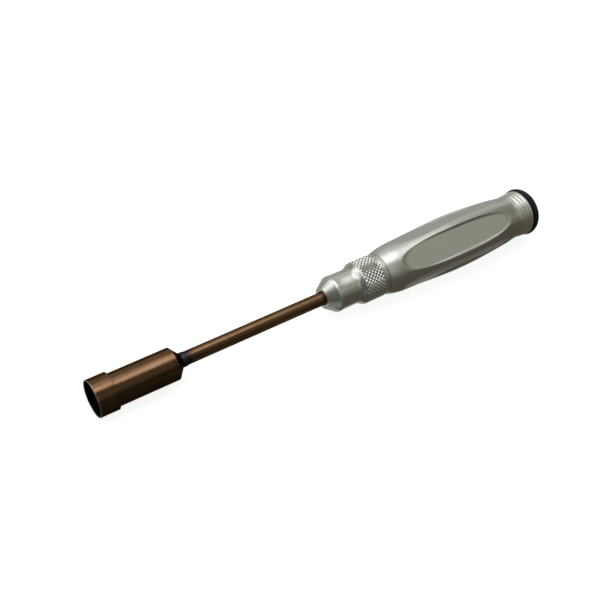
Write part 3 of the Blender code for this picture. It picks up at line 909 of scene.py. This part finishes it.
cap_shape = lathe(
    [
        (CAP_X + CAP_LIP + CAP_DOME, 0),
        *round_over(CAP_X + CAP_LIP, CAP_RADIUS - CAP_DOME, CAP_DOME, 90, 0, 16),
        *round_over(CAP_X + CAP_LIP, CAP_RADIUS - CAP_LIP, CAP_LIP, 0, -90, 5)[1:],
        (CAP_X, CAP_SPIGOT_RADIUS),
        (CAP_X - CAP_SPIGOT_LENGTH, CAP_SPIGOT_RADIUS),
        (CAP_X - CAP_SPIGOT_LENGTH, CAP_SPIGOT_BORE),
        (CAP_X, CAP_SPIGOT_BORE),
        (CAP_X, 0),
    ],
    CAP_STEPS,
)
plastic = Finish("black_plastic", CAP_BLACK, 0.0, 0.4)
leather = plastic.speckle(2600.0)
smears = plastic.speckle(120.0, 2.0)
plastic.feed("Base Color", plastic.tint(plastic.spread(smears, 0, 1, 0.35, 0.7), CAP_DEEP, CAP_SMEAR))
plastic.feed("Roughness", plastic.spread(smears, 0.36, 0.46, 0.3, 0.7))
plastic.shader.inputs["Specular IOR Level"].default_value = 0.2
plastic.relief(leather, 0.008, 0.3)
add_piece("cap_dome", cap_shape, plastic.material, "handle", "end_cap")

# Floor: a white floor under the tool, which lies on its lip and on the barrel's shoulder.
# It takes the tool's shadow, and it looks white to the camera and in the metal's polish.
TILT = math.radians(1.19)
FLOOR_SIDE = 120
FLOOR_GAP = 0.00002
FLOOR_GREY = (0.35, 0.35, 0.35, 1.0)
FLOOR_GLOW = 0.85
lean = Matrix.Rotation(TILT, 4, "Y")
lowest = min((lean.inverted() @ vert.co).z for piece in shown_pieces() for vert in piece.data.vertices)


def flat_at(x, y, lift):
    """A matrix that puts a sheet flat at a place, by a lift in metres off the tool's lowest point."""
    return lean @ Matrix.Translation((x, y, lowest + lift))


def lay_sheet(name, width, length, place, material):
    """A flat sheet of a width and a length in metres, put in place by a matrix."""
    bm = bmesh.new()
    bmesh.ops.create_grid(bm, x_segments=1, y_segments=1, size=0.5)
    bmesh.ops.scale(bm, vec=(width, length, 1), verts=bm.verts)
    bmesh.ops.transform(bm, matrix=place, verts=bm.verts)
    mesh = bpy.data.meshes.new(name)
    bm.to_mesh(mesh)
    bm.free()
    mesh.materials.append(material)
    sheet = bpy.data.objects.new(name, mesh)
    scene.collection.objects.link(sheet)
    sheet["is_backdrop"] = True
    return sheet


floor_finish = bpy.data.materials.new("white_floor")
floor_finish.use_nodes = True
nodes = floor_finish.node_tree.nodes
links = floor_finish.node_tree.links
nodes.remove(nodes["Principled BSDF"])
matt = nodes.new("ShaderNodeBsdfDiffuse")
matt.inputs["Color"].default_value = FLOOR_GREY
glow = nodes.new("ShaderNodeEmission")
path = nodes.new("ShaderNodeLightPath")
seen = path.outputs["Is Camera Ray"]
for ray in ("Is Glossy Ray", "Is Transmission Ray"):
    either = nodes.new("ShaderNodeMath")
    either.operation = "MAXIMUM"
    links.new(seen, either.inputs[0])
    links.new(path.outputs[ray], either.inputs[1])
    seen = either.outputs[0]
level = nodes.new("ShaderNodeMath")
level.operation = "MULTIPLY"
level.inputs[1].default_value = FLOOR_GLOW
links.new(seen, level.inputs[0])
links.new(level.outputs[0], glow.inputs["Strength"])
both = nodes.new("ShaderNodeAddShader")
links.new(matt.outputs[0], both.inputs[0])
links.new(glow.outputs[0], both.inputs[1])
links.new(both.outputs[0], nodes["Material Output"].inputs["Surface"])
lay_sheet("floor", FLOOR_SIDE, FLOOR_SIDE, flat_at(0, 0, -FLOOR_GAP), floor_finish)

# Light: softboxes hang above the tool and round it, as in a small product studio.
# For its polish to show, glowing sheets that only the polish sees give painted reflections: a grey floor
# behind it, painted shadow on the floor in front, and two dark sheets in front of it.
studio = Matrix.Rotation(camera.rotation_euler.z, 4, "Z")


def add_reflection_sheet(name, width, length, place, colour):
    """A glowing sheet that only the tool's polish shows, as a painted reflection of what lies round it."""
    reflection_glow = bpy.data.materials.new(name)
    reflection_glow.use_nodes = True
    nodes = reflection_glow.node_tree.nodes
    nodes.remove(nodes["Principled BSDF"])
    glow = nodes.new("ShaderNodeEmission")
    glow.inputs["Color"].default_value = (*colour, 1.0)
    reflection_glow.node_tree.links.new(glow.outputs[0], nodes["Material Output"].inputs["Surface"])
    reflection = lay_sheet(name, width, length, place, reflection_glow)
    reflection.visible_camera = False
    reflection.visible_shadow = False
    reflection.visible_diffuse = False
    reflection.visible_transmission = False
    return reflection


def facing(place, aim):
    """A matrix that puts a card or a lamp at a place in the studio, square to the camera, and aims it."""
    turn = (Vector(aim) - Vector(place)).to_track_quat("-Z", "Y").to_matrix().to_4x4()
    return studio @ Matrix.Translation(place) @ turn


REFLECTION_BACK = 0.35
REFLECTION_EDGE = -0.007
REFLECTION_FRONT = -0.6
REFLECTION_LIFT = 0.0001
REFLECTION_BEND = (0, -0.1, 0.2)
# Painted reflections of the floor: a lit grey floor behind the tool, and in front the tool's shadow,
# darkest by the socket and lit by the cone.
grey_place = flat_at(0, (REFLECTION_BACK + REFLECTION_EDGE) / 2, REFLECTION_LIFT)
add_reflection_sheet("painted_floor_behind", 1.2, REFLECTION_BACK - REFLECTION_EDGE, grey_place, (0.47, 0.47, 0.43))
for name, left, right, back, colour in (
    ("painted_socket_shadow", -2.0, -0.052, -0.006, (0.069, 0.08, 0.063)),
    ("painted_shank_shadow", -0.052, -0.018, REFLECTION_EDGE, (0.15, 0.152, 0.138)),
    ("painted_cone_floor", -0.018, -0.003, REFLECTION_EDGE, (0.3, 0.3, 0.28)),
    ("painted_front_shadow", -0.003, 2.0, REFLECTION_EDGE, (0.11, 0.1, 0.075)),
):
    reflection_place = flat_at((left + right) / 2, (back + REFLECTION_FRONT) / 2, 2 * REFLECTION_LIFT)
    reflection = add_reflection_sheet(name, right - left, back - REFLECTION_FRONT, reflection_place, colour)
    bent = bmesh.new()
    bent.from_mesh(reflection.data)
    front_edge = [edge for edge in bent.edges if all(vert.co.y < REFLECTION_FRONT + 0.1 for vert in edge.verts)]
    raised = bmesh.ops.extrude_edge_only(bent, edges=front_edge)["geom"]
    bmesh.ops.translate(bent, vec=REFLECTION_BEND, verts=verts_of(raised))
    bent.to_mesh(reflection.data)
    bent.free()
# Painted reflections: two dark glowing sheets darken what the handle's and the socket's polish shows in
# front.
add_reflection_sheet("painted_dark_front", 1.15, 0.6, facing((-0.22, -0.6, 0.48), (0, 0, 0)), (0.11, 0.11, 0.095))
socket_side = facing((0.029, -0.11, 0.033), (-0.06, -0.04, 0))
add_reflection_sheet("painted_socket_dark", 0.06, 0.074, socket_side, (0.075, 0.083, 0.064))


def hang_softbox(name, place, aim, width, length, radiance, colour=(1, 1, 1)):
    """A rectangular softbox that faces a point. Its glow is given as the white that it shows."""
    lamp = bpy.data.objects.new(name, bpy.data.lights.new(name, "AREA"))
    lamp.data.shape = "RECTANGLE"
    lamp.data.color = colour
    lamp.data.size = width
    lamp.data.size_y = length
    lamp.data.energy = radiance * math.pi * width * length
    lamp.matrix_world = facing(place, aim)
    scene.collection.objects.link(lamp)


WARM = (1.0, 1.0, 0.86)
hang_softbox("key_softbox", (0.1, 0.23, 0.8), (0.1, 0.23, 0), 0.25, 0.45, 1.95)
hang_softbox("wing_softbox", (0.4, 0.2, 0.81), (0.4, 0.2, 0), 0.26, 0.5, 0.9)
hang_softbox("near_softbox", (-0.17, -0.2, 0.8), (-0.17, -0.2, 0), 0.37, 0.3, 1.9)
hang_softbox("top_softbox", (-0.3, 0.38, 0.82), (-0.3, 0.38, 0), 1.0, 0.8, 1.4)
hang_softbox("back_softbox", (0, 1.6, 0.75), (0, 0, 0), 1.8, 0.9, 0.5)
hang_softbox("left_softbox", (-1.15, -0.05, 0.6), (0, 0, 0), 1.8, 1.3, 1.05)
hang_softbox("front_softbox", (0.3, -0.75, 0.8), (0, 0, 0), 0.5, 0.6, 0.85, WARM)
hang_softbox("right_softbox", (1.0, -0.1, 0.8), (0, 0, 0), 0.5, 0.5, 0.3, WARM)

world = bpy.data.worlds.new("studio")
world.use_nodes = True
world.node_tree.nodes["Background"].inputs["Color"].default_value = (0.25, 0.25, 0.2, 1.0)
world.node_tree.nodes["Background"].inputs["Strength"].default_value = 1.0
scene.world = world
